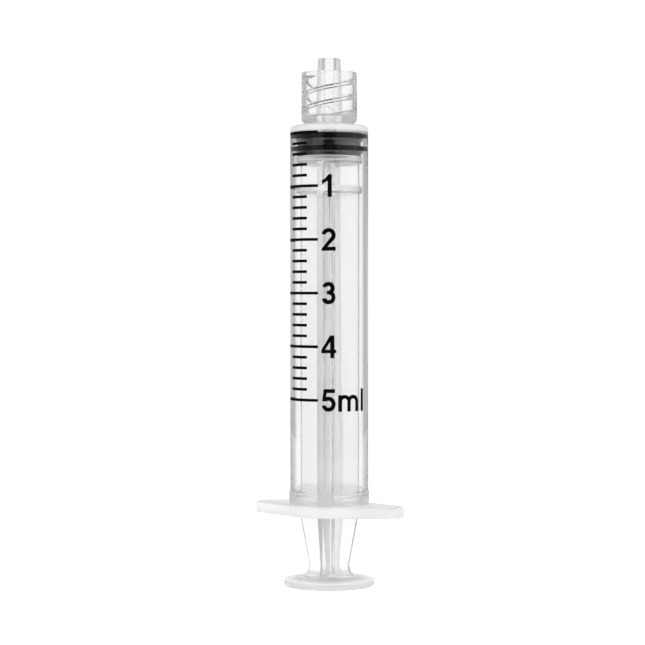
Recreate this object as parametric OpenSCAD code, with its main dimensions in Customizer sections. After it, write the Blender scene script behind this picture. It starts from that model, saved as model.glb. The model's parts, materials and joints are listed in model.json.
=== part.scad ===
// Three-piece 5 ml dispensing syringe with a luer-lock tip, standing on its thumb rest.
// Origin: centre of the thumb rest's underside. +Z runs along the syringe to the tip,
// X runs along the finger flange. The plunger is pushed fully home.

/* [Barrel] */
// Outside diameter of the barrel tube
barrel_od = 13.4; // [13.2:0.1:14]
// Bore of the barrel tube, which sets how far apart the graduations are
bore_d = 11.84; // [11.7:0.02:11.9]
// Height of the bore's closed end
bore_end_z = 77.7; // [77.7:0.1:78.1]
// Thickness of the closed end
end_wall = 1.4; // [1.2:0.1:1.6]
// Rounding of the shoulder at the closed end
shoulder_r = 0.8; // [0.4:0.1:1]
// Diameter of the reinforcing ring above the flange
ring_od = 13.75; // [13.7:0.05:14.2]
// Height of the reinforcing ring, flange included
ring_h = 4.25; // [3.5:0.05:5]
// How far the retaining bead stands into the bore
bead_h = 0.16; // [0.15:0.01:0.17]

/* [Finger flange] */
// Height of the flange's underside
flange_z = 12.15; // [12:0.05:13]
// Thickness of the flange
flange_t = 1.85; // [1.5:0.05:2.2]
// Length of the flange over both wings
flange_l = 27.2; // [24:0.2:30]
// Width of the flange across the barrel
flange_w = 14; // [14:0.1:16]
// Width of each wing at its cut-off end
wing_end_w = 4.4; // [3:0.1:6]
// Corner radius at the wing's end
wing_corner_r = 1.4; // [0.5:0.1:1.6]

/* [Luer lock] */
// Height of the tip of the luer cone
tip_z = 90.6; // [90.1:0.1:91.6]
// Diameter of the luer cone at its tip
tip_d = 3.93; // [3.93:0.01:3.99]
// Taper of the luer cone on its diameter
luer_taper = 0.06; // [0.055:0.005:0.065]
// Fluid passage through the cone
passage_d = 1.7; // [1.2:0.1:2]
// Outside diameter of the lock collar
collar_od = 9.55; // [9.4:0.05:10.2]
// How far the cone stands out of the collar
cone_proud = 2.4; // [2.1:0.1:3]
// Depth of the collar's cavity
collar_depth = 7.5; // [6.5:0.1:7.5]
// Diameter of the cavity between the threads
thread_root_d = 8.1; // [8:0.05:8.2]
// Diameter over the thread's crests
thread_crest_d = 7.2; // [7:0.05:7.3]
// Rise of one thread start in a full turn
thread_lead = 5; // [5]
// Number of thread starts
thread_starts = 2; // [1, 2]

/* [Plunger rod] */
// Radius of the four ribs inside the barrel
rib_r = 5.2; // [5:0.05:5.65]
// Thickness of a rib
rib_t = 1.1; // [0.9:0.05:1.4]
// Direction of the ribs, turned from the flange
rib_turn = 9; // [0:1:45]
// Radius of the ribs at the waist above the thumb rest
waist_r = 3.5; // [3.3:0.05:4.5]
// Height of the waist
waist_z = 3.6; // [3.4:0.1:4]
// Height at which the taper from the waist ends
taper_top_z = 12.4; // [11:0.1:13]
// Diameter of the thumb rest
thumb_d = 15.5; // [14:0.1:17]
// Thickness of the thumb rest at its rim
thumb_t = 1.15; // [1:0.05:1.4]
// Diameter of the two guide discs
disc_d = 11.4; // [11.3:0.02:11.4]
// Thickness of a guide disc
disc_t = 1; // [0.8:0.05:1.2]
// Height of the lower guide disc's underside
disc_z = 67.6; // [60:0.1:69]

/* [Gasket] */
// Height of the gasket
gasket_h = 3.86; // [3.84:0.01:3.9]
// Diameter of the gasket between its sealing ribs
gasket_d = 11; // [10.8:0.1:11.2]
// Radial clearance of the sealing ribs in the bore
seal_gap = 0.02; // [0.01:0.01:0.05]

/* [Printed scale] */
// Volume between one line and the next, in ml
line_step_ml = 0.2; // [0.2, 0.5, 1]
// Volume at the last line, in ml
capacity_ml = 5; // [5]
// Width of a printed line
line_t = 0.48; // [0.3:0.02:0.5]
// Height of the figures
figure_h = 3.84; // [3.4:0.02:4]
// Width of a figure's strokes
stroke_t = 0.72; // [0.6:0.02:0.8]
// Thickness of the ink
ink_t = 0.04; // [0.03:0.01:0.06]

/* [Hidden] */
$fn = 96;

barrel_r = barrel_od / 2;
bore_r = bore_d / 2;
shoulder_z = bore_end_z + end_wall;
bead_z = flange_z + 2.8;            // foot of the retaining bead
bead_run = 0.3;                     // length of each of the bead's slopes
bead_land = 0.3;                    // length of the bead's crest
bore_chamfer = 0.25;                // lead-in at the barrel's open end
bore_corner = 0.1;                  // fillet at the closed end
ring_fillet = 0.2;

tip_r = tip_d / 2;
tip_round = 0.35;
collar_top_z = tip_z - cone_proud;
collar_floor_z = collar_top_z - collar_depth;
collar_r = collar_od / 2;
collar_edge = 0.2;
collar_chamfer = 0.65;              // slope from the collar down to its neck
collar_neck_h = 0.2;                // neck between the shoulder and that slope
collar_foot_z = shoulder_z + collar_neck_h;
root_r = thread_root_d / 2;
cone_foot_r = tip_r + luer_taper * (tip_z - collar_floor_z) / 2;

thread_base_w = 0.8;                  // width of a thread at the wall
thread_crest_w = 0.3;
thread_bury = 0.25;                 // how far a thread reaches into the wall
thread_from_z = collar_floor_z + 0.35;
thread_to_z = collar_top_z - 0.7;
thread_phase = -22.2;               // direction in which the first start begins
thread_slices = 24;                 // slices in a full turn
thread_fade = 3;                    // slices over which a thread's end dies away

head_z = bore_end_z - 0.05 - gasket_h - 0.03;      // top of the upper guide disc
disc_r = disc_d / 2;
thumb_r = thumb_d / 2;
thumb_round = 0.4;
thumb_crown = 0.4;                  // rise of the thumb rest from its rim to its middle
rib_fillet = 0.6;
neck_r = 2.3;
neck_h = 1.05;
bulb_r = 3.1;
bulb_h = 1.95;
socket_gap = 0.05;                  // running clearance of the neck and bulb in the gasket

gasket_z = head_z + 0.03;
gasket_top_z = gasket_z + gasket_h;
seal_r = bore_r - seal_gap;
upper_seal_h = 1.05;
lower_seal_h = 0.85;
lower_seal_z = gasket_z + 0.75;
seal_slope = 0.15;

zero_z = gasket_top_z - 0.05;       // height of the 0 ml line
mm_per_ml = 1000 / (PI * bore_r * bore_r);
line_count = round(capacity_ml / line_step_ml);
lines_per_ml = round(1 / line_step_ml);
major_arc = [-154, -80.5];          // directions between which the long lines run
minor_arc = [-133, -98.4];
figure_at = -65;                    // direction of the figures' centre line
figure_w = 2.44;
unit_m_at = -34;
unit_m_w = 3.9;
unit_m_h = 2.85;
unit_l_at = -8.3;
unit_t = 0.65;

// Points of an arc about (x, y), from angle a to angle b
function arc(x, y, rx, ry, a, b, n = 8) =
    [for (i = [0:n]) [x + rx * cos(a + (b - a) * i / n), y + ry * sin(a + (b - a) * i / n)]];

function reversed(list) = [for (i = [len(list) - 1:-1:0]) list[i]];

// ---- Barrel ----

// Half of the barrel's section, as [radius, height], from the open end round to the open end
function barrel_section() = concat(
    [[bore_r + bore_chamfer, flange_z], [bore_r, flange_z + bore_chamfer],
     [bore_r, bead_z], [bore_r - bead_h, bead_z + bead_run],
     [bore_r - bead_h, bead_z + bead_run + bead_land],
     [bore_r, bead_z + 2 * bead_run + bead_land]],
    arc(bore_r - bore_corner, bore_end_z - bore_corner, bore_corner, bore_corner, 0, 90, 4),
    [[passage_d / 2, bore_end_z], [passage_d / 2, tip_z]],
    arc(tip_r - tip_round, tip_z - tip_round, tip_round, tip_round, 90, 0, 4),
    [[cone_foot_r, collar_floor_z], [root_r, collar_floor_z],
     [root_r, collar_top_z - collar_edge], [root_r + collar_edge, collar_top_z],
     [collar_r - collar_edge, collar_top_z], [collar_r, collar_top_z - collar_edge],
     [collar_r, collar_foot_z + collar_chamfer], [collar_r - collar_chamfer, collar_foot_z],
     [collar_r - collar_chamfer, shoulder_z]],
    arc(barrel_r - shoulder_r, shoulder_z - shoulder_r, shoulder_r, shoulder_r, 90, 0, 6),
    [[barrel_r, flange_z + ring_h], [ring_od / 2, flange_z + ring_h - ring_fillet],
     [ring_od / 2, flange_z]]);

// Outline of one quarter of the flange: the round middle, a straight side and the wing's corner
function flange_quarter() =
    let (middle_r = flange_w / 2,
         corner = [flange_l / 2 - wing_corner_r, wing_end_w / 2 - wing_corner_r],
         side = atan2(corner[1], corner[0]) + acos((middle_r - wing_corner_r) / norm(corner)))
    concat(arc(corner[0], corner[1], wing_corner_r, wing_corner_r, 0, side, 5),
           arc(0, 0, middle_r, middle_r, side, 90, 4));

module finger_flange() {
    quarter = flange_quarter();
    half = concat(quarter, [for (p = reversed(quarter)) [-p[0], p[1]]]);
    translate([0, 0, flange_z])
        linear_extrude(flange_t)
            difference() {
                polygon(concat(half, [for (p = reversed(half)) [p[0], -p[1]]]));
                circle(r = (bore_r + ring_od / 2) / 2);
            }
}

// One thread start: a ridge of four-sided slices that climbs the wall of the collar
module thread_start(turn) {
    slices = floor((thread_to_z - thread_from_z) / thread_lead * thread_slices);
    points = [for (i = [0:slices])
        let (a = turn + i * 360 / thread_slices,
             z = thread_from_z + i * thread_lead / thread_slices,
             fade = min(1, i / thread_fade, (slices - i) / thread_fade),
             crest = root_r + 0.05 - fade * (root_r + 0.05 - thread_crest_d / 2),
             wall = root_r + thread_bury)
        each [for (p = [[wall, -thread_base_w / 2], [wall, thread_base_w / 2],
                        [crest, thread_crest_w / 2], [crest, -thread_crest_w / 2]])
            [p[0] * cos(a), p[0] * sin(a), z + p[1]]]];
    sides = [for (i = [0:slices - 1], k = [0:3])
        let (a = 4 * i + k, b = 4 * i + (k + 1) % 4)
        each [[a, b, b + 4], [a, b + 4, a + 4]]];
    last = 4 * slices;
    caps = [[3, 2, 1, 0], [last, last + 1, last + 2, last + 3]];
    polyhedron(points, concat(sides, caps));
}

module barrel() {
    color([0.93, 0.95, 0.97, 0.4])
        union() {
            rotate_extrude() polygon(barrel_section());
            finger_flange();
            for (i = [0:thread_starts - 1])
                thread_start(thread_phase + i * 360 / thread_starts);
        }
}

// ---- Plunger rod ----

// Cross of four ribs with filleted inner corners
module rib_cross() {
    corner = rib_t / 2 + rib_fillet;
    quarter = concat([[disc_r, rib_t / 2]],
                     arc(corner, corner, rib_fillet, rib_fillet, 270, 180, 4),
                     [[rib_t / 2, disc_r]]);
    polygon([for (turn = [0:90:270])
        each [for (p = quarter)
            [p[0] * cos(turn) - p[1] * sin(turn), p[0] * sin(turn) + p[1] * cos(turn)]]]);
}

// Half-section that the ribs are trimmed to: a flare, the waist, the taper and the straight part
module rib_envelope() {
    flare = waist_z - thumb_t;
    polygon(concat([[0, thumb_t / 2], [waist_r + flare, thumb_t / 2]],
                   arc(waist_r + flare, waist_z, flare, flare, 270, 180, 8),
                   [[rib_r, taper_top_z], [rib_r, head_z - disc_t / 2],
                    [0, head_z - disc_t / 2]]));
}

module thumb_rest() {
    rotate_extrude()
        polygon(concat([[0, 0]],
                       arc(thumb_r - thumb_round, thumb_round, thumb_round, thumb_round, 270, 360, 4),
                       arc(thumb_r - thumb_round, thumb_t - thumb_round,
                           thumb_round, thumb_round, 0, 80, 4),
                       [[waist_r, thumb_t + thumb_crown], [0, thumb_t + thumb_crown]]));
}

// Neck and bulb that snap into the gasket
module gasket_stud() {
    translate([0, 0, head_z])
        rotate_extrude()
            polygon([[0, -disc_t / 2], [neck_r, -disc_t / 2], [neck_r, neck_h],
                     [bulb_r, neck_h], [bulb_r, neck_h + bulb_h / 2],
                     [neck_r, neck_h + bulb_h], [0, neck_h + bulb_h]]);
}

module plunger_rod() {
    color([0.9, 0.92, 0.93])
        union() {
            intersection() {
                linear_extrude(head_z) rotate(rib_turn) rib_cross();
                rotate_extrude() rib_envelope();
            }
            thumb_rest();
            translate([0, 0, disc_z]) cylinder(r = disc_r, h = disc_t);
            translate([0, 0, head_z - disc_t]) cylinder(r = disc_r, h = disc_t);
            gasket_stud();
        }
}

// ---- Gasket ----

// Outer half of a sealing rib's section, from its foot at height z
function seal_rib(z, h) =
    [[gasket_d / 2, z], [seal_r, z + seal_slope], [seal_r, z + h - seal_slope],
     [gasket_d / 2, z + h]];

module gasket() {
    upper_seal_z = gasket_top_z - upper_seal_h;
    socket_r = neck_r + socket_gap;
    cavity_r = bulb_r + socket_gap;
    cavity_z = head_z + neck_h - socket_gap;
    cavity_top_z = head_z + neck_h + bulb_h + 2 * socket_gap;
    color([0.06, 0.06, 0.07])
        rotate_extrude()
            polygon(concat(
                [[socket_r, gasket_z], [gasket_d / 2, gasket_z]],
                seal_rib(lower_seal_z, lower_seal_h),
                [[gasket_d / 2, upper_seal_z], [seal_r, upper_seal_z + seal_slope],
                 [seal_r, gasket_top_z - seal_slope], [seal_r - seal_slope, gasket_top_z],
                 [0, gasket_top_z], [0, cavity_top_z], [cavity_r, cavity_top_z],
                 [cavity_r, cavity_z], [socket_r, cavity_z]]));
}

// ---- Printed scale ----

// One printed line at a given volume, between two directions
module scale_line(line, ends) {
    z = zero_z - line * line_step_ml * mm_per_ml;
    rotate([0, 0, ends[0]])
        rotate_extrude(angle = ends[1] - ends[0])
            translate([barrel_r, z - line_t / 2]) square([ink_t, line_t]);
}

module major_graduations() {
    color([0.05, 0.05, 0.06])
        for (line = [0:lines_per_ml:line_count]) scale_line(line, major_arc);
}

module minor_graduations() {
    color([0.05, 0.05, 0.06])
        for (line = [1:line_count - 1])
            if (line % lines_per_ml != 0) scale_line(line, minor_arc);
}

// A curved stroke of a figure, with its outer edge on the ellipse of radii rx and ry
module bow(x, y, rx, ry, a, b, t = stroke_t) {
    polygon(concat(arc(x, y, rx, ry, a, b, 14), arc(x, y, rx - t, ry - t, b, a, 14)));
}

module figure_1() {
    right = figure_w / 2 + 0.55;
    polygon([[right - stroke_t, 0], [right, 0], [right, figure_h],
             [right - 0.55, figure_h], [right - 1.1, figure_h - 0.7],
             [right - 1.72, figure_h - 1.02], [right - 1.6, figure_h - 1.68],
             [right - stroke_t, figure_h - 1.15]]);
}

module figure_2() {
    mid = figure_w / 2;
    bow_y = figure_h - mid;
    bow(mid, bow_y, mid, mid, 170, -38);
    polygon([[mid * (1 + cos(-38)), bow_y + mid * sin(-38)],
             [mid + (mid - stroke_t) * cos(-38), bow_y + (mid - stroke_t) * sin(-38)],
             [0.08, 0.4], [0, 0], [figure_w, 0], [figure_w, 0.66], [1.02, 0.66]]);
}

module figure_3() {
    mid = figure_w / 2;
    bow(mid - 0.03, figure_h - 1.06, 1.1, 1.06, 165, -70);
    bow(mid, 1.2, 1.2, 1.2, 75, -168);
    translate([mid - 0.3, 1.7]) square([0.75, 0.62]);
}

module figure_4() {
    stem = 1.5;
    bar = 0.83;
    difference() {
        polygon([[0, bar], [0, bar + 0.6], [stem - 0.05, figure_h], [stem + stroke_t, figure_h],
                 [stem + stroke_t, bar + 0.6], [figure_w + 0.1, bar + 0.6],
                 [figure_w + 0.1, bar], [stem + stroke_t, bar], [stem + stroke_t, 0],
                 [stem, 0], [stem, bar]]);
        polygon([[0.66, bar + 0.6], [stem, bar + 0.6], [stem, figure_h - 1.1]]);
    }
}

module figure_5() {
    mid = figure_w / 2;
    bow(mid, 1.3, mid, 1.3, 138, -166);
    polygon([[0.38, figure_h], [figure_w - 0.12, figure_h], [figure_w - 0.12, figure_h - 0.66],
             [0.92, figure_h - 0.66], [0.72, 1.75], [0.12, 1.82]]);
}

module unit_m() {
    stem_gap = (unit_m_w - unit_t) / 2;
    bow_r = (stem_gap + unit_t) / 2;
    for (i = [0:2])
        translate([i * stem_gap, 0])
            square([unit_t, unit_m_h - (i == 0 ? 0.05 : bow_r)]);
    for (i = [0:1])
        bow(i * stem_gap + bow_r, unit_m_h - bow_r, bow_r, bow_r, 180, 0, unit_t);
}

// Lays a flat shape, w wide, on the barrel's surface with its centre line in a given direction
// and its foot at height z
module on_barrel(direction, w, z) {
    intersection() {
        translate([0, 0, z])
            rotate([90, 0, direction + 90])
                linear_extrude(barrel_r + 1)
                    translate([-w / 2, 0]) children();
        rotate_extrude()
            translate([barrel_r, z - 1]) square([ink_t, figure_h + 2]);
    }
}

// Height of the foot of the figure that belongs to a whole number of ml
function figure_foot_z(ml) = zero_z - ml * mm_per_ml - figure_h / 2;

module numerals() {
    color([0.05, 0.05, 0.06]) {
        on_barrel(figure_at, figure_w, figure_foot_z(1)) figure_1();
        on_barrel(figure_at, figure_w, figure_foot_z(2)) figure_2();
        on_barrel(figure_at, figure_w, figure_foot_z(3)) figure_3();
        on_barrel(figure_at, figure_w, figure_foot_z(4)) figure_4();
        on_barrel(figure_at, figure_w, figure_foot_z(5)) figure_5();
        on_barrel(unit_m_at, unit_m_w, figure_foot_z(5)) unit_m();
        on_barrel(unit_l_at, unit_t, figure_foot_z(5)) square([unit_t, figure_h]);
    }
}

barrel();
plunger_rod();
gasket();
major_graduations();
minor_graduations();
numerals();
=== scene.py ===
import json
import math

import bmesh
import bpy
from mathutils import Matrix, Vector


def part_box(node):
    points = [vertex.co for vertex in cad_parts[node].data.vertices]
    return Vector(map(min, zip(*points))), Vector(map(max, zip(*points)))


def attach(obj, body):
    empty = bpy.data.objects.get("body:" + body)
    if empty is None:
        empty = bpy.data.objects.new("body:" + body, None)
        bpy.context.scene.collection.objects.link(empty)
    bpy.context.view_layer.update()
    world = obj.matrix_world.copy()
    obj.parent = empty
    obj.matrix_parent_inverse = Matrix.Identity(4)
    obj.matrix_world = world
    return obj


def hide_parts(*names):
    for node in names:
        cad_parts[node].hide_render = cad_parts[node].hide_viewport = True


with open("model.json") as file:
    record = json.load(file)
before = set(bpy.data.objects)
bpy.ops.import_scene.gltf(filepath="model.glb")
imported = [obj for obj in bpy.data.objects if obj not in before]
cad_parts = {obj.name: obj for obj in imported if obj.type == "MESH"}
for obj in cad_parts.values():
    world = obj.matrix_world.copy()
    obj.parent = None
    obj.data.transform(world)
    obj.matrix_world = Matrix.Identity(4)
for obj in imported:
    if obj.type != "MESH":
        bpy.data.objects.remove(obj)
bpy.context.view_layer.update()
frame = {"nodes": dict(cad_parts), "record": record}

# ---- Barrel ---------------------------------------------------------------------------------
# One clear polypropylene moulding: tube, finger flange, reinforcing ring, shoulder, luer cone
# and lock collar. It slides on the gasket. Sizes are in millimetres until a mesh is made.

MM = 0.001
barrel_low, barrel_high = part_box("barrel")
gasket_low, gasket_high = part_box("gasket")
mount_dims = {m["name"]: m["dims"] for m in frame["record"]["mounts"]}

print_sink = 0.006                  # the tube stands this far into the ink that is printed on it
tube_r = mount_dims["barrel_grip"]["r_mm"] + print_sink
seal_clearance = 0.02               # between the bore and the gasket, on the radius
top_clearance = 0.05                # between the bore's closed end and the gasket
bore_r = gasket_high.x / MM + seal_clearance
bore_end_z = gasket_high.z / MM + top_clearance
end_wall = 1.4
shoulder_z = bore_end_z + end_wall
shoulder_round = 0.8

open_end_z = barrel_low.z / MM
flange_t = 1.85
flange_top_z = open_end_z + flange_t
flange_round = 0.22
wing_l = barrel_high.x / MM         # from the axis to the end of a wing
middle_r = barrel_high.y / MM
wing_corner_r = 1.4
wing_end_w = 4.4
ring_r = 6.875
ring_h = 4.25
ring_top_z = open_end_z + ring_h
ring_round = 0.1
bead_z = open_end_z + 2.8
bead_h = 0.16                       # how far the retaining bead stands into the bore
small_round = 0.1                   # inside corner of the bore's end, and foot of the collar
foot_fillet = 0.12                  # where the tube stands on the ring

luer_slope = 0.03                   # the cone's radius grows by this much per mm
tip_z = barrel_high.z / MM
tip_r = 3.93 / 2
tip_round = 0.35
cone_proud = 2.4
passage_r = mount_dims["fluid_passage"]["r_mm"]
passage_round = (0.08, 0.12)        # at the bottom and at the top of the passage
collar_r = mount_dims["lock_collar_outside"]["r_mm"]
collar_depth = 7.5
collar_round = 0.22
collar_top_z = tip_z - cone_proud
collar_floor_z = collar_top_z - collar_depth
collar_neck_h = 0.2
collar_foot_z = shoulder_z + collar_neck_h
collar_chamfer = 0.65
thread_root_r = 8.1 / 2
root_fillet = 0.15
cone_foot_r = tip_r + luer_slope * (tip_z - collar_floor_z)


def arc(x, y, r, start, end, steps=6):
    """Points of a circle's arc, from one angle in degrees to another."""
    angles = [math.radians(start + (end - start) * i / steps) for i in range(steps + 1)]
    return [(x + r * math.cos(a), y + r * math.sin(a)) for a in angles]


# The centre of a wing's corner, the direction in which the straight side faces, and the
# directions between which the corner's arc lies
wing_corner = (wing_l - wing_corner_r, wing_end_w / 2 - wing_corner_r)
side_faces = math.atan2(wing_corner[1], wing_corner[0]) + math.acos(
    (middle_r - wing_corner_r) / math.hypot(*wing_corner))
corner_starts = math.atan2(wing_corner[1], wing_l)
corner_ends = math.atan2(wing_corner[1] + wing_corner_r * math.sin(side_faces),
                         wing_corner[0] + wing_corner_r * math.cos(side_faces))


def flange_radius(angle):
    """Distance from the axis to the flange's edge in a direction."""
    along, across = abs(math.cos(angle)), abs(math.sin(angle))
    turn = math.atan2(across, along)
    if turn <= corner_starts:
        return wing_l / along
    if turn < corner_ends:
        reach = along * wing_corner[0] + across * wing_corner[1]
        spare = wing_corner[0] ** 2 + wing_corner[1] ** 2 - wing_corner_r ** 2
        return reach + math.sqrt(reach ** 2 - spare)
    if turn < side_faces:
        return middle_r / math.cos(side_faces - turn)
    return middle_r


def flange_edge(angle):
    """Rounding of the flange's edges, smaller where the flange meets the ring."""
    return min(flange_round, 0.8 * (flange_radius(angle) - ring_r))


def barrel_directions(count=216, corner_steps=8):
    """Directions of the tube's facets, closer together round the wings' corners."""
    turns = [2 * math.pi * i / count for i in range(count)]
    for quarter in range(4):
        for step in range(corner_steps + 1):
            turn = corner_starts + (corner_ends - corner_starts) * step / corner_steps
            turns.append(quarter % 2 * math.pi + (turn if quarter < 2 else -turn))
    turns = sorted(t % (2 * math.pi) for t in turns)
    return [t for i, t in enumerate(turns) if t - turns[i - 1] > 1e-4 or i == 0]


def lathe(name, section, directions=None, ring=False):
    """A mesh turned about Z from a section of (radius, height), where a radius may be a
    function of the direction. ring joins the last point to the first."""
    directions = directions or [2 * math.pi * i / 160 for i in range(160)]
    shape = bmesh.new()
    rows = []
    for radius, height in section:
        if radius == 0:
            rows.append([shape.verts.new((0, 0, height * MM))])
            continue
        reach = [radius(a) if callable(radius) else radius for a in directions]
        rows.append([shape.verts.new((r * math.cos(a) * MM, r * math.sin(a) * MM, height * MM))
                     for r, a in zip(reach, directions)])
    pairs = list(zip(rows, rows[1:])) + ([(rows[-1], rows[0])] if ring else [])
    for low, high in pairs:
        for i in range(len(directions)):
            j = (i + 1) % len(directions)
            corners = [low[i % len(low)], low[j % len(low)], high[j % len(high)], high[i % len(high)]]
            corners = list(dict.fromkeys(corners))
            if len(corners) > 2:
                shape.faces.new(corners)
    bmesh.ops.recalc_face_normals(shape, faces=shape.faces)
    mesh = bpy.data.meshes.new(name)
    shape.to_mesh(mesh)
    shape.free()
    return mesh


merge_gap = 0.0002 * MM             # points closer than this are one point


def place(name, mesh, crease=32):
    """An object for a mesh, with doubled points merged, and shaded smooth but for edges
    sharper than crease degrees."""
    shape = bmesh.new()
    shape.from_mesh(mesh)
    bmesh.ops.remove_doubles(shape, verts=shape.verts, dist=merge_gap)
    bmesh.ops.dissolve_degenerate(shape, edges=shape.edges, dist=merge_gap)
    shape.to_mesh(mesh)
    shape.free()
    mesh.shade_smooth()
    mesh.set_sharp_from_angle(angle=math.radians(crease))
    piece = bpy.data.objects.new(name, mesh)
    bpy.context.scene.collection.objects.link(piece)
    return piece


wall_rows = 120                     # enough rows to carry the lock thread
collar_wall = [(thread_root_r, collar_floor_z + root_fillet
                + (collar_depth - 0.4) * i / wall_rows) for i in range(wall_rows + 1)]
flange_rim = [(lambda a, s=s: flange_radius(a) - flange_edge(a) * (1 - math.cos(math.radians(s))),
               math.sin(math.radians(s)) * flange_round) for s in (90, 67, 45, 22, 0)]

# Up the bore, over the bead, through the passage, down the cone, round the collar, and down
# the outside to the flange
barrel_section = (
    [(bore_r + 0.3, open_end_z), (bore_r + 0.08, open_end_z + 0.08), (bore_r, open_end_z + 0.3),
     (bore_r, bead_z), (bore_r - 0.5 * bead_h, bead_z + 0.12), (bore_r - bead_h, bead_z + 0.3),
     (bore_r - bead_h, bead_z + 0.6), (bore_r - 0.5 * bead_h, bead_z + 0.78),
     (bore_r, bead_z + 0.9)]
    + arc(bore_r - small_round, bore_end_z - small_round, small_round, 0, 90, 3)
    + arc(passage_r + passage_round[0], bore_end_z + passage_round[0], passage_round[0],
          270, 180, 3)
    + arc(passage_r + passage_round[1], tip_z - passage_round[1], passage_round[1], 180, 90, 4)
    + arc(tip_r - tip_round, tip_z - tip_round, tip_round, 90, 2)
    + arc(cone_foot_r + root_fillet, collar_floor_z + root_fillet, root_fillet, 180, 270, 4)
    + arc(thread_root_r - root_fillet, collar_floor_z + root_fillet, root_fillet, 270, 350, 4)
    + collar_wall
    + arc(thread_root_r + root_fillet, collar_top_z - root_fillet, root_fillet, 180, 90, 4)
    + arc(collar_r - collar_round, collar_top_z - collar_round, collar_round, 90, 0)
    + [(collar_r, collar_foot_z + collar_chamfer + 0.12),
       (collar_r - 0.04, collar_foot_z + collar_chamfer),
       (collar_r - collar_chamfer + 0.06, collar_foot_z + 0.07),
       (collar_r - collar_chamfer, collar_foot_z - 0.08)]
    + arc(collar_r - collar_chamfer + small_round, shoulder_z + small_round, small_round,
          180, 270, 4)
    + arc(tube_r - shoulder_round, shoulder_z - shoulder_round, shoulder_round, 90, 0, 10)
    + arc(tube_r + foot_fillet, ring_top_z + foot_fillet, foot_fillet, 180, 235, 3)
    + arc(ring_r - ring_round, ring_top_z - ring_round, ring_round, 60, 0, 4)
    + [(ring_r, flange_top_z + ring_round),
       (lambda a: min(ring_r + ring_round, flange_radius(a) - flange_edge(a)), flange_top_z)]
    + [(radius, flange_top_z - flange_round + lift) for radius, lift in flange_rim]
    + [(radius, open_end_z + flange_round - lift) for radius, lift in reversed(flange_rim)]
)


class Wire:
    """A socket in a node tree. Arithmetic on it adds Math nodes."""

    def __init__(self, tree, socket=None):
        self.tree = tree
        self.socket = socket

    def node(self, kind, settings, inputs, output=0):
        """Adds a node: its settings first, then the values or wires of its sockets."""
        node = self.tree.nodes.new(kind)
        for key, value in settings.items():
            if key == "stops":
                ramp = node.color_ramp.elements
                while len(ramp) < len(value):
                    ramp.new(1.0)
                for stop, (where, shade) in zip(ramp, value):
                    stop.position = where
                    stop.color = (*shade, 1.0) if isinstance(shade, tuple) else (shade,) * 3 + (1.0,)
            else:
                setattr(node, key, value)
        for key, value in inputs.items():
            for item in value if isinstance(value, list) else [value]:
                if isinstance(item, Wire):
                    self.tree.links.new(item.socket, node.inputs[key])
                else:
                    node.inputs[key].default_value = item
        return Wire(self.tree, node.outputs[output] if len(node.outputs) else None)

    def math(self, operation, *values):
        return self.node("ShaderNodeMath", {"operation": operation}, dict(enumerate(values)))

    def __add__(self, other):
        return self.math("ADD", self, other)

    def __sub__(self, other):
        return self.math("SUBTRACT", self, other)

    def __rsub__(self, other):
        return self.math("SUBTRACT", other, self)

    def __mul__(self, other):
        return self.math("MULTIPLY", self, other)

    def __truediv__(self, other):
        return self.math("DIVIDE", self, other)

    def __mod__(self, other):
        return self.math("FLOORED_MODULO", self, other)

    def __abs__(self):
        return self.math("ABSOLUTE", self)

    __radd__ = __add__
    __rmul__ = __mul__


def node_tree(name, **sizes):
    """A Geometry Nodes tree with named inputs, and the wires of those inputs."""
    tree = bpy.data.node_groups.new(name, "GeometryNodeTree")
    tree.interface.new_socket("Geometry", in_out="OUTPUT", socket_type="NodeSocketGeometry")
    tree.interface.new_socket("Geometry", in_out="INPUT", socket_type="NodeSocketGeometry")
    kinds = {float: "NodeSocketFloat", int: "NodeSocketInt", bool: "NodeSocketBool",
             bpy.types.Object: "NodeSocketObject", bpy.types.Material: "NodeSocketMaterial"}
    for key, value in sizes.items():
        tree.interface.new_socket(key, in_out="INPUT", socket_type=kinds[type(value)])
    entry = tree.nodes.new("NodeGroupInput")
    return tree, {s.name: Wire(tree, s) for s in entry.outputs if s.name}


def end_tree(last, material):
    """Ends a tree in real geometry with its material set."""
    solid = last.node("GeometryNodeRealizeInstances", {}, {"Geometry": last})
    solid = solid.node("GeometryNodeSetMaterial", {}, {"Geometry": solid, "Material": material})
    solid.node("NodeGroupOutput", {}, {"Geometry": solid})


def grow(name, tree, mesh=None, **sizes):
    """Runs a tree on a mesh with the given sizes and returns the plain mesh it makes."""
    seed = bpy.data.objects.new(name, mesh or bpy.data.meshes.new(name))
    bpy.context.scene.collection.objects.link(seed)
    modifier = seed.modifiers.new("grow", "NODES")
    modifier.node_group = tree
    for item in tree.interface.items_tree:
        if item.in_out == "INPUT" and item.name in sizes:
            modifier[item.identifier] = sizes[item.name]
    seed.update_tag()
    graph = bpy.context.evaluated_depsgraph_get()
    grown = bpy.data.meshes.new_from_object(seed.evaluated_get(graph))
    seed.modifiers.clear()
    bpy.data.objects.remove(seed)
    return grown


ramp_span = 100                     # mm of height that a colour ramp covers


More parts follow.
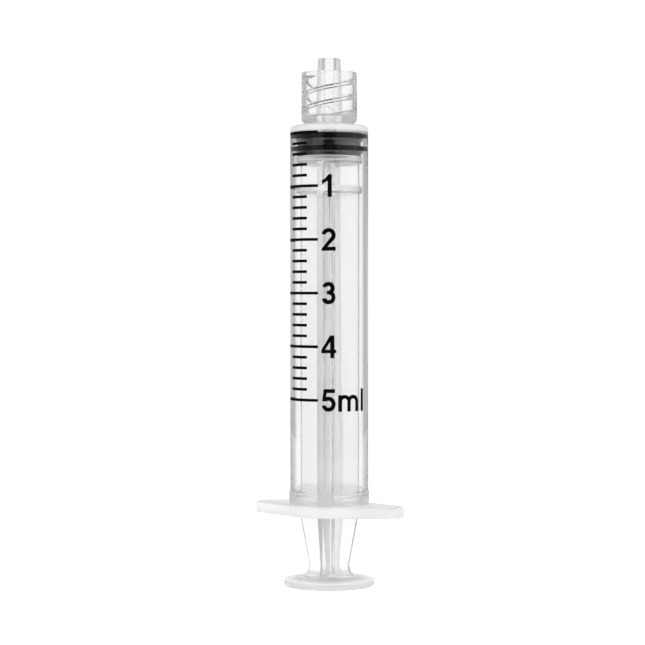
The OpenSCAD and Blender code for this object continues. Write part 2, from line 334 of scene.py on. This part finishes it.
def clear_plastic(name, tint, murk, haze, ripple, white, milk):
    """Clear moulded plastic: a slight tint that deepens with thickness, and a faint flow
    ripple left by the mould. murk is how fast the plastic darkens, per metre. milk says how
    cloudy it looks at each height in mm, because the thick parts scatter more light. white
    says how bright that cloud is at each height, and is painted shade: the cloud is made a
    little greyer where the part should look darker under the studio light."""
    material = bpy.data.materials.new(name)
    material.use_nodes = True
    tree = material.node_tree
    tree.nodes.clear()
    start = Wire(tree)
    where = start.node("ShaderNodeTexCoord", {}, {}, "Object")
    stretched = start.node("ShaderNodeMapping", {}, {"Vector": where, "Scale": (900, 900, 90)})
    flow = start.node("ShaderNodeTexNoise", {}, {"Vector": stretched, "Scale": 1.0, "Detail": 3.0})
    grain = start.node("ShaderNodeTexNoise", {}, {"Vector": where, "Scale": 2600.0, "Detail": 2.0})
    bump = start.node("ShaderNodeBump", {}, {"Height": flow * 0.8 + grain * 0.2,
                                              "Strength": ripple, "Distance": 0.0001})
    clear = start.node("ShaderNodeBsdfPrincipled", {}, {
        "Base Color": (*tint, 1.0), "Roughness": haze * (0.6 + flow * 0.8), "IOR": 1.49,
        "Transmission Weight": 1.0, "Normal": bump})
    height = start.node("ShaderNodeSeparateXYZ", {}, {"Vector": where}, "Z") / (ramp_span * MM)
    # The cloud's colour by height is painted shade, not a colour of the plastic: greyer where the
    # part should look darker.
    scatter, cloud_tone_painted_shade = [start.node(
        "ShaderNodeValToRGB", {"stops": [(z / ramp_span, amount) for z, amount in levels]},
        {"Fac": height}) for levels in (milk, white)]
    cloudy = start.node("ShaderNodeBsdfPrincipled", {}, {
        "Base Color": cloud_tone_painted_shade, "Roughness": 0.35 + flow * 0.2, "IOR": 1.49,
        "Transmission Weight": 0.35, "Normal": bump})
    surface = start.node("ShaderNodeMixShader", {}, {0: scatter, 1: clear, 2: cloudy})
    depth = start.node("ShaderNodeVolumeAbsorption", {}, {
        "Color": (0.5, 0.56, 0.58, 1.0), "Density": murk})
    start.node("ShaderNodeOutputMaterial", {}, {"Surface": surface, "Volume": depth})
    return material


# The white stops are painted shade: the barrel's cloud is a little greyer from the bore's end up
# through the shoulder, cone and collar.
barrel_plastic = clear_plastic(
    "barrel_plastic", tint=(0.985, 0.988, 0.99), murk=10.0, haze=0.02, ripple=0.04,
    white=[(ring_top_z, 0.87), (bore_end_z, 0.84)],
    milk=[(flange_top_z - 0.2, 0.8), (flange_top_z + 0.2, 0.25), (ring_top_z - 0.3, 0.25),
          (ring_top_z + 0.1, 0.01), (bore_end_z + 0.05, 0.003), (bore_end_z + 0.35, 0.75),
          (shoulder_z, 0.75), (shoulder_z + 0.4, 0.45), (collar_floor_z, 0.35),
          (collar_floor_z + 0.5, 0.03)])

# The lock thread: two ridges that wind up the collar's inner wall, left by the moulding core.
# Each point of the wall moves inwards by the height of the ridge that it lies on.
thread, size = node_tree("lock_thread", Root=1.0, Height=1.0, Lead=1.0, Starts=1, Phase=1.0,
                         Foot=1.0, Crest=1.0, Bottom=1.0, Top=1.0, Fade=1.0,
                         Plastic=barrel_plastic)
start = Wire(thread)
spot = start.node("GeometryNodeInputPosition", {}, {})
spot_x, spot_y, spot_z = [start.node("ShaderNodeSeparateXYZ", {}, {"Vector": spot}, i)
                          for i in range(3)]
from_axis = start.math("SQRT", spot_x * spot_x + spot_y * spot_y)
turned = (start.math("ARCTAN2", spot_y, spot_x) - size["Phase"]) / (2 * math.pi)
strand_gap = size["Lead"] / size["Starts"]
strands = (spot_z - size["Bottom"] - turned * size["Lead"]) / strand_gap
off_strand = abs((strands + 0.5) % 1.0 - 0.5) * strand_gap
SMOOTH = {"interpolation_type": "SMOOTHSTEP", "clamp": True}
ridge = start.node("ShaderNodeMapRange", SMOOTH, {
    "Value": off_strand, "From Min": size["Crest"] / 2, "From Max": size["Foot"] / 2,
    "To Min": 1.0, "To Max": 0.0})
starts_in = start.node("ShaderNodeMapRange", SMOOTH, {
    "Value": spot_z, "From Min": size["Bottom"] - size["Fade"], "From Max": size["Bottom"]})
ends_in = start.node("ShaderNodeMapRange", SMOOTH, {
    "Value": spot_z, "From Min": size["Top"], "From Max": size["Top"] + size["Fade"],
    "To Min": 1.0, "To Max": 0.0})
rise = ridge * starts_in * ends_in * size["Height"] / from_axis
inward = start.node("ShaderNodeCombineXYZ", {}, {
    "X": spot_x * rise * -1.0, "Y": spot_y * rise * -1.0})
on_wall = start.math("LESS_THAN", abs(from_axis - size["Root"]), 0.01 * MM)
above_floor = start.math("GREATER_THAN", spot_z, size["Bottom"] - size["Fade"] / 2)
threaded = start.node("GeometryNodeSetPosition", {}, {
    "Geometry": size["Geometry"], "Selection": on_wall * above_floor, "Offset": inward})
end_tree(threaded, size["Plastic"])
barrel_mesh = grow(
    "barrel_blank", thread,
    lathe("barrel_blank", barrel_section, barrel_directions(), ring=True),
    Root=thread_root_r * MM, Height=0.45 * MM, Lead=5.0 * MM, Starts=2,
    Phase=math.radians(-22.2), Foot=0.8 * MM, Crest=0.25 * MM,
    Bottom=(collar_floor_z + 0.35) * MM, Top=(collar_top_z - 1.2) * MM, Fade=0.5 * MM,
    Plastic=barrel_plastic)
barrel = place("clear_barrel", barrel_mesh)
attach(barrel, "barrel")
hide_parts("barrel")

# ---- Plunger rod ----------------------------------------------------------------------------
# One milky-clear polyethylene moulding: thumb rest, four-rib cross, two guide discs, and the
# neck and bulb that snap into the gasket.

rod_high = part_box("plunger_rod")[1]
thumb_r = rod_high.x / MM
thumb_t = 1.15
thumb_crown = 0.4
thumb_round = 0.4
thumb_hollow = 0.25                 # the underside stands on its rim
waist_r = 3.5
waist_z = 3.6
rib_r = 5.2
rib_turn = math.radians(9)
rib_t = 1.1
rib_fillet = 0.6
rib_round = 0.16
taper_top_z = 12.4
disc_r = 5.7
disc_t = 1.0
disc_round = 0.12
lower_disc_z = 67.6
head_z = gasket_low.z / MM - 0.03
neck_r = 2.3
neck_h = 1.05
bulb_r = 3.1
bulb_round = 0.5
stud_top_z = rod_high.z / MM


def rib_reach(z):
    """Radius of the ribs at a height: flared at the thumb rest, waisted, then tapering out."""
    flare = waist_z - thumb_t
    if z < waist_z:
        lift = min(flare, waist_z - z)
        return waist_r + flare - math.sqrt(flare ** 2 - lift ** 2)
    if z < taper_top_z:
        return waist_r + (rib_r - waist_r) * (z - waist_z) / (taper_top_z - waist_z)
    return rib_r


def rib_outline(reach):
    """Outline of the four-rib cross, with rounded rib edges and filleted inner corners."""
    half = rib_t / 2
    quarter = (arc(reach - rib_round, half - rib_round, rib_round, 0, 90, 3)
               + arc(half + rib_fillet, half + rib_fillet, rib_fillet, 270, 180, 6)
               + arc(half - rib_round, reach - rib_round, rib_round, 0, 90, 3))
    outline = []
    for turn in range(4):
        for x, y in quarter:
            outline.append((x * math.cos(rib_turn) - y * math.sin(rib_turn),
                            x * math.sin(rib_turn) + y * math.cos(rib_turn)))
        quarter = [(-y, x) for x, y in quarter]
    return outline


def rib_mesh():
    heights = ([thumb_t / 2] + [thumb_t + (waist_z - thumb_t) * (1 - math.cos(i * math.pi / 28))
                                for i in range(1, 15)]
               + [taper_top_z - 0.3, taper_top_z, taper_top_z + 0.3, head_z - disc_t / 2])
    shape = bmesh.new()
    rows = [[shape.verts.new((x * MM, y * MM, z * MM)) for x, y in rib_outline(rib_reach(z))]
            for z in heights]
    for low, high in zip(rows, rows[1:]):
        for i, corner in enumerate(low):
            j = (i + 1) % len(low)
            shape.faces.new((corner, low[j], high[j], high[i]))
    shape.faces.new(rows[0])
    shape.faces.new(rows[-1])
    bmesh.ops.recalc_face_normals(shape, faces=shape.faces)
    mesh = bpy.data.meshes.new("ribs")
    shape.to_mesh(mesh)
    shape.free()
    return mesh


thumb_section = (
    [(0, thumb_hollow), (thumb_r - 1.9, thumb_hollow), (thumb_r - 1.6, 0.05), (thumb_r - 1.4, 0)]
    + arc(thumb_r - thumb_round, thumb_round, thumb_round, 270, 360)
    + arc(thumb_r - thumb_round, thumb_t - thumb_round, thumb_round, 0, 78)
    + [(thumb_r - 1.2, thumb_t + 0.1), (waist_r + 1.2, thumb_t + 0.33),
       (waist_r, thumb_t + thumb_crown), (0, thumb_t + thumb_crown)])


disc_flat_r = disc_r - disc_round
disc_section = ([(0, 0)] + arc(disc_flat_r, disc_round, disc_round, 270, 360, 4)
                + arc(disc_flat_r, disc_t - disc_round, disc_round, 0, 90, 4) + [(0, disc_t)])
stud_section = (
    [(0, head_z - disc_t / 2), (neck_r, head_z - disc_t / 2), (neck_r, head_z + neck_h)]
    + arc(bulb_r - 0.15, head_z + neck_h + 0.15, 0.15, 270, 360, 3)
    + arc(bulb_r - bulb_round, stud_top_z - bulb_round, bulb_round, 0, 90, 5)
    + [(0, stud_top_z)])

# The white stops are painted shade: the rod's cloud is greyer near the thumb rest and lightens up to
# the top of the taper.
rod_plastic = clear_plastic(
    "rod_plastic", tint=(0.996, 0.998, 0.999), murk=2.0, haze=0.18, ripple=0.05,
    white=[(thumb_t + 0.4, 0.93), (waist_z, 0.95), (taper_top_z, 1.0)],
    milk=[(thumb_t, 0.45), (thumb_t + 0.5, 0.2), (lower_disc_z - 0.2, 0.2),
          (lower_disc_z, 0.12), (head_z - disc_t - 0.3, 0.12), (head_z - disc_t, 0.25)])
rod_parts = {
    "Ribs": rib_mesh(),
    "Thumb": lathe("thumb", thumb_section),
    "Disc": lathe("disc", disc_section),
    "Stud": lathe("stud", stud_section),
}
rod_parts = {key: bpy.data.objects.new(key, mesh) for key, mesh in rod_parts.items()}
for part in rod_parts.values():
    bpy.context.scene.collection.objects.link(part)

moulding, size = node_tree("plunger_moulding", **rod_parts, First=1.0, Second=1.0,
                           Plastic=rod_plastic)
start = Wire(moulding)
shapes = {key: start.node("GeometryNodeObjectInfo", {}, {"Object": size[key]}, "Geometry")
          for key in rod_parts}
disc_places = start.node("GeometryNodeMeshLine", {"mode": "END_POINTS"}, {
    "Count": 2,
    "Start Location": start.node("ShaderNodeCombineXYZ", {}, {"Z": size["First"]}),
    "Offset": start.node("ShaderNodeCombineXYZ", {}, {"Z": size["Second"]})})
discs = start.node("GeometryNodeInstanceOnPoints", {}, {
    "Points": disc_places, "Instance": shapes["Disc"]})
discs = start.node("GeometryNodeRealizeInstances", {}, {"Geometry": discs})
joined = start.node("GeometryNodeMeshBoolean", {"operation": "UNION", "solver": "EXACT"}, {
    1: [shapes["Ribs"], shapes["Thumb"], shapes["Stud"], discs]})
end_tree(joined, size["Plastic"])
rod_mesh = grow("rod_blank", moulding, First=lower_disc_z * MM, Second=(head_z - disc_t) * MM,
                Plastic=rod_plastic, **rod_parts)
for part in rod_parts.values():
    bpy.data.objects.remove(part)
rod = place("ribbed_plunger", rod_mesh)
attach(rod, "plunger")
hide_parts("plunger_rod")

# ---- Gasket ---------------------------------------------------------------------------------
# One black rubber moulding with two sealing ribs that press on the bore. It snaps over the
# rod's bulb. The ribs look dull, because they are wet out against the plastic.

seal_squeeze = 0.004                # the ribs press this far into the plastic
seal_r = bore_r + seal_squeeze
seal_body_r = 5.5
socket_gap = 0.05                   # round the rod's neck and bulb
mouth_r = neck_r + socket_gap
socket_r = bulb_r + socket_gap
socket_foot_z = head_z + neck_h - socket_gap
socket_top_z = stud_top_z + 0.1
gasket_z = gasket_low.z / MM
gasket_top_z = gasket_high.z / MM
lower_seal = (gasket_z + 0.75, gasket_z + 1.6)
upper_seal_z = gasket_top_z - 1.05


def bulge(low, high):
    """A sealing rib: a rounded band between two heights."""
    edge = 0.06
    return ([(seal_body_r + 0.05, low - 0.1), (seal_body_r + 0.12, low)]
            + arc(seal_r - edge, low + edge, edge, 290, 360, 4)
            + arc(seal_r - edge, high - edge, edge, 0, 70, 4)
            + [(seal_body_r + 0.12, high), (seal_body_r + 0.05, high + 0.1)])


gasket_section = (
    [(mouth_r, gasket_z)] + arc(seal_body_r - 0.2, gasket_z + 0.2, 0.2, 270, 360, 4)
    + [(seal_body_r, gasket_z + 0.45)]
    + bulge(*lower_seal)
    + [(seal_body_r, lower_seal[1] + 0.3), (seal_body_r, upper_seal_z - 0.3),
       (seal_body_r + 0.05, upper_seal_z - 0.1), (seal_body_r + 0.12, upper_seal_z)]
    + arc(seal_r - 0.16, upper_seal_z + 0.16, 0.16, 290, 360, 4)
    + arc(seal_r - 0.2, gasket_top_z - 0.2, 0.2, 0, 90)
    + [(0, gasket_top_z), (0, socket_top_z), (socket_r, socket_top_z),
       (socket_r, socket_foot_z), (mouth_r, socket_foot_z)])


def moulded_rubber():
    """Black rubber, glossy where it is free and dull where it presses on the bore."""
    material = bpy.data.materials.new("gasket_rubber")
    material.use_nodes = True
    tree = material.node_tree
    tree.nodes.clear()
    start = Wire(tree)
    where = start.node("ShaderNodeTexCoord", {}, {}, "Object")
    x, y, z = [start.node("ShaderNodeSeparateXYZ", {}, {"Vector": where}, i) for i in range(3)]
    radius = start.math("SQRT", x * x + y * y) / MM
    pressed = start.node("ShaderNodeMapRange", SMOOTH, {
        "Value": radius, "From Min": seal_r - 0.2, "From Max": seal_r - 0.08})
    grain = start.node("ShaderNodeTexNoise", {}, {"Vector": where, "Scale": 4000.0, "Detail": 4.0})
    cloud = start.node("ShaderNodeTexNoise", {}, {"Vector": where, "Scale": 500.0, "Detail": 2.0})
    bump = start.node("ShaderNodeBump", {}, {"Height": grain, "Strength": 0.12, "Distance": 0.00005})
    shade = start.node("ShaderNodeValToRGB", {"stops": [(0.3, (0.002, 0.002, 0.003)),
                                                        (0.7, (0.005, 0.005, 0.006))]},
                       {"Fac": cloud})
    free = start.node("ShaderNodeBsdfPrincipled", {}, {
        "Base Color": shade, "Roughness": 0.22 + cloud * 0.12, "IOR": 2.4, "Normal": bump})
    dull = start.node("ShaderNodeBsdfPrincipled", {}, {
        "Base Color": shade, "Roughness": 0.5 + cloud * 0.2, "IOR": 1.2, "Normal": bump})
    surface = start.node("ShaderNodeMixShader", {}, {0: pressed, 1: free, 2: dull})
    start.node("ShaderNodeOutputMaterial", {}, {"Surface": surface})
    return material


gasket = place("rubber_gasket", lathe("rubber_gasket", gasket_section, ring=True))
gasket.data.materials.append(moulded_rubber())
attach(gasket, "gasket")
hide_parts("gasket")

# ---- Printed scale --------------------------------------------------------------------------
# Black ink screened onto the outside of the tube: a long line at every whole millilitre, a
# short one at every fifth, and the figures. It rides with the barrel.


def printed_ink():
    """Black ink with a slightly uneven gloss and thin spots."""
    material = bpy.data.materials.new("scale_ink")
    material.use_nodes = True
    tree = material.node_tree
    tree.nodes.clear()
    start = Wire(tree)
    where = start.node("ShaderNodeTexCoord", {}, {}, "Object")
    speck = start.node("ShaderNodeTexNoise", {}, {"Vector": where, "Scale": 5000.0, "Detail": 3.0})
    shade = start.node("ShaderNodeValToRGB", {"stops": [(0.35, (0.0005, 0.0005, 0.001)),
                                                        (0.75, (0.003, 0.003, 0.0035))]},
                       {"Fac": speck})
    bump = start.node("ShaderNodeBump", {}, {"Height": speck, "Strength": 0.1, "Distance": 0.00003})
    surface = start.node("ShaderNodeBsdfPrincipled", {}, {
        "Base Color": shade, "Roughness": 0.4 + speck * 0.25, "IOR": 1.12, "Normal": bump})
    start.node("ShaderNodeOutputMaterial", {}, {"Surface": surface})
    return material


ink = printed_ink()
ink_low, ink_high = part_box("major_graduations")
line_w = 0.48
ink_t = 0.04
ink_lift = 0.012                    # the middle of the ink stands this far off the tube
capacity_ml = 5
lines_per_ml = 5
ml_step = (ink_high.z - ink_low.z - line_w * MM) / capacity_ml

marks, size = node_tree("scale_lines", Top=1.0, Step=1.0, Lines=1, Every=1, Long=True,
                        Radius=1.0, From=1.0, Sweep=1.0, Width=1.0, Thick=1.0, Ink=ink)
start = Wire(marks)
ladder = start.node("GeometryNodeMeshLine", {"mode": "OFFSET"}, {
    "Count": size["Lines"],
    "Start Location": start.node("ShaderNodeCombineXYZ", {}, {"Z": size["Top"]}),
    "Offset": start.node("ShaderNodeCombineXYZ", {}, {"Z": size["Step"] * -1.0})})
stroke_path = start.node("GeometryNodeCurveArc", {"mode": "RADIUS"}, {
    "Resolution": 48, "Radius": size["Radius"], "Start Angle": size["From"],
    "Sweep Angle": size["Sweep"]})
stroke_end = start.node("GeometryNodeCurvePrimitiveQuadrilateral", {"mode": "RECTANGLE"}, {
    "Width": size["Thick"], "Height": size["Width"]})
stroke = start.node("GeometryNodeCurveToMesh", {}, {
    "Curve": stroke_path, "Profile Curve": stroke_end, "Fill Caps": True})
order = start.node("GeometryNodeInputIndex", {}, {})
is_long = start.math("LESS_THAN", order % size["Every"], 0.5)
chosen = start.math("LESS_THAN", abs(is_long - size["Long"]), 0.5)
printed = start.node("GeometryNodeInstanceOnPoints", {}, {
    "Points": ladder, "Selection": chosen, "Instance": stroke})
end_tree(printed, size["Ink"])


def scale_marks(name, long, directions):
    """The long or the short lines, between two directions given in degrees."""
    first, last = [math.radians(d) for d in directions]
    mesh = grow(name, marks, Top=ink_high.z - line_w * MM / 2, Step=ml_step / lines_per_ml,
                Lines=capacity_ml * lines_per_ml + 1, Every=lines_per_ml, Long=long,
                Radius=(tube_r + ink_lift) * MM, From=first, Sweep=last - first,
                Width=line_w * MM, Thick=ink_t * MM, Ink=ink)
    return place(name, mesh)


long_lines = scale_marks("long_lines", True, (-154, -80.5))
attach(long_lines, "barrel")
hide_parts("major_graduations")
short_lines = scale_marks("short_lines", False, (-133, -98.4))
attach(short_lines, "barrel")
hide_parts("minor_graduations")
figures = frame["nodes"]["numerals"]
for slot in figures.material_slots:
    slot.material = ink

# ---- Studio ---------------------------------------------------------------------------------
# A white table and a soft white surround, with a tall softbox on either side of the camera.
# The table and the surround send back less light in mirrored rays, as black cards beside the
# camera would, so that the rubber stays black and the tube's edges stay drawn.

scene = bpy.context.scene
camera_azimuth = math.radians(26)
camera_distance = 0.353
eye_z = 0.0513                      # height of the camera
aim_z = 0.04527                     # height that it looks at
aim_left = 0.00116
softbox_distance = 0.5
softbox_z = 0.25
softbox_aim_z = 0.05
towards = Vector((math.sin(camera_azimuth), -math.cos(camera_azimuth), 0))
right = Vector((math.cos(camera_azimuth), math.sin(camera_azimuth), 0))

camera = bpy.data.objects.new("camera", bpy.data.cameras.new("camera"))
scene.collection.objects.link(camera)
camera.data.sensor_width = 36
camera.data.lens = 114.4
camera.data.clip_start = 0.01
camera.location = towards * camera_distance + Vector((0, 0, eye_z))
aim = Vector((0, 0, aim_z)) - right * aim_left
camera.rotation_euler = (aim - camera.location).to_track_quat("-Z", "Y").to_euler()
scene.camera = camera


def softbox(name, swing, width, height, power):
    """A tall softbox, swung round from the camera by an angle in degrees."""
    light = bpy.data.objects.new(name, bpy.data.lights.new(name, "AREA"))
    scene.collection.objects.link(light)
    light.data.shape = "RECTANGLE"
    light.data.size = width
    light.data.size_y = height
    light.data.energy = power
    turn = camera_azimuth + math.radians(swing)
    light.location = (Vector((math.sin(turn), -math.cos(turn), 0)) * softbox_distance
                      + Vector((0, 0, softbox_z)))
    facing = Vector((0, 0, softbox_aim_z)) - light.location
    light.rotation_euler = facing.to_track_quat("-Z", "Y").to_euler()


softbox("right_softbox", 56, width=0.75, height=0.6, power=0.5)
softbox("left_softbox", -37, width=0.36, height=0.6, power=0.2)

# The table glows so that it stays white. Light mirrored by the plastic's outer walls finds it
# half as bright.
floor_r = 180
table_glow = 0.9
mirrored_glow = 0.45
deep_crossings = 5.0                # light that has crossed more walls than this is deep inside
floor = place("floor", lathe("floor", [(0, 0), (floor_r, 0)]))
floor_paint = bpy.data.materials.new("floor_paint")
floor_paint.use_nodes = True
floor_paint.node_tree.nodes.clear()
start = Wire(floor_paint.node_tree)
bright_paint, mirrored_paint = [start.node("ShaderNodeBsdfPrincipled", {}, {
    "Base Color": (0.15, 0.15, 0.15, 1.0), "Roughness": 0.9, "Specular IOR Level": 0.1,
    "Emission Color": (1.0, 1.0, 1.0, 1.0), "Emission Strength": glow})
    for glow in (table_glow, mirrored_glow)]
bounces, crossings = [start.node("ShaderNodeLightPath", {}, {}, key) for key in (
    "Glossy Depth", "Transmission Depth")]
near_skin = start.math("LESS_THAN", crossings, deep_crossings)
off_skin = start.math("MINIMUM", bounces, 1.0) * near_skin
surface = start.node("ShaderNodeMixShader", {}, {0: off_skin, 1: bright_paint, 2: mirrored_paint})
start.node("ShaderNodeOutputMaterial", {}, {"Surface": surface})
floor.data.materials.append(floor_paint)

# The surround is one brightness where the camera sees it, and another after a matt surface.
# Straight through clear plastic it shows four pale panels, a little brighter for each wall that
# the light has crossed. In mirrored light it is bright behind the object and black by the camera.
seen_white = 1.05
matt_white = 1.65
bare_white = 0.86                   # straight through one wall, and for each more
wall_gain = 0.06
most_walls = 8.0
deep_gain = 0.6                     # for mirrored light deep inside
panels = 4
world = bpy.data.worlds.new("white_surround")
scene.world = world
world.use_nodes = True
world.node_tree.nodes.clear()
start = Wire(world.node_tree)
sky = start.node("ShaderNodeTexCoord", {}, {}, "Generated")
sky_x, sky_y, sky_z = [start.node("ShaderNodeSeparateXYZ", {}, {"Vector": sky}, axis)
                       for axis in "XYZ"]
seen, matts, bounces, crossings = [start.node("ShaderNodeLightPath", {}, {}, key) for key in (
    "Is Camera Ray", "Diffuse Depth", "Glossy Depth", "Transmission Depth")]
matt = start.math("MINIMUM", matts, 1.0)
bounced = start.math("MINIMUM", bounces, 1.0)
deep = start.math("GREATER_THAN", crossings, deep_crossings)

swing = (start.math("ARCTAN2", sky_y, sky_x) - camera_azimuth - math.pi / 2) / (2 * math.pi)
off_panel = abs((swing * panels + 0.5) % 1.0 - 0.5) * (360 / panels)
off_back = abs((swing + 0.5) % 1.0 - 0.5) * 2.0
overhead = start.node("ShaderNodeMapRange", SMOOTH, {
    "Value": sky_z, "From Min": 0.45, "From Max": 0.95, "To Min": 1.0, "To Max": 0.3})
between = start.node("ShaderNodeMapRange", SMOOTH, {
    "Value": off_panel, "From Min": 18.0, "From Max": 36.0, "To Min": 1.0, "To Max": 0.7})
mirrored = start.node("ShaderNodeValToRGB", {"stops": [
    (0.05, 0.75), (0.11, 0.48), (0.4, 0.5), (0.62, 0.2), (0.8, 0.0)]}, {"Fac": off_back})
walls = start.math("MINIMUM", crossings, most_walls)
straight = (walls * wall_gain + bare_white) * overhead * between
glassy = bounced * (mirrored + deep * deep_gain) + (1.0 - bounced) * straight
strength = seen * seen_white + matt * matt_white + (1.0 - seen - matt) * glassy
backdrop = start.node("ShaderNodeBackground", {}, {"Color": (1, 1, 1, 1), "Strength": strength})
start.node("ShaderNodeOutputWorld", {}, {"Surface": backdrop})

# Milky plastic needs many matt bounces, or its inside goes dark
scene.view_settings.view_transform = "Standard"
scene.cycles.max_bounces = 32
scene.cycles.transmission_bounces = 32
scene.cycles.glossy_bounces = 16
scene.cycles.diffuse_bounces = 16
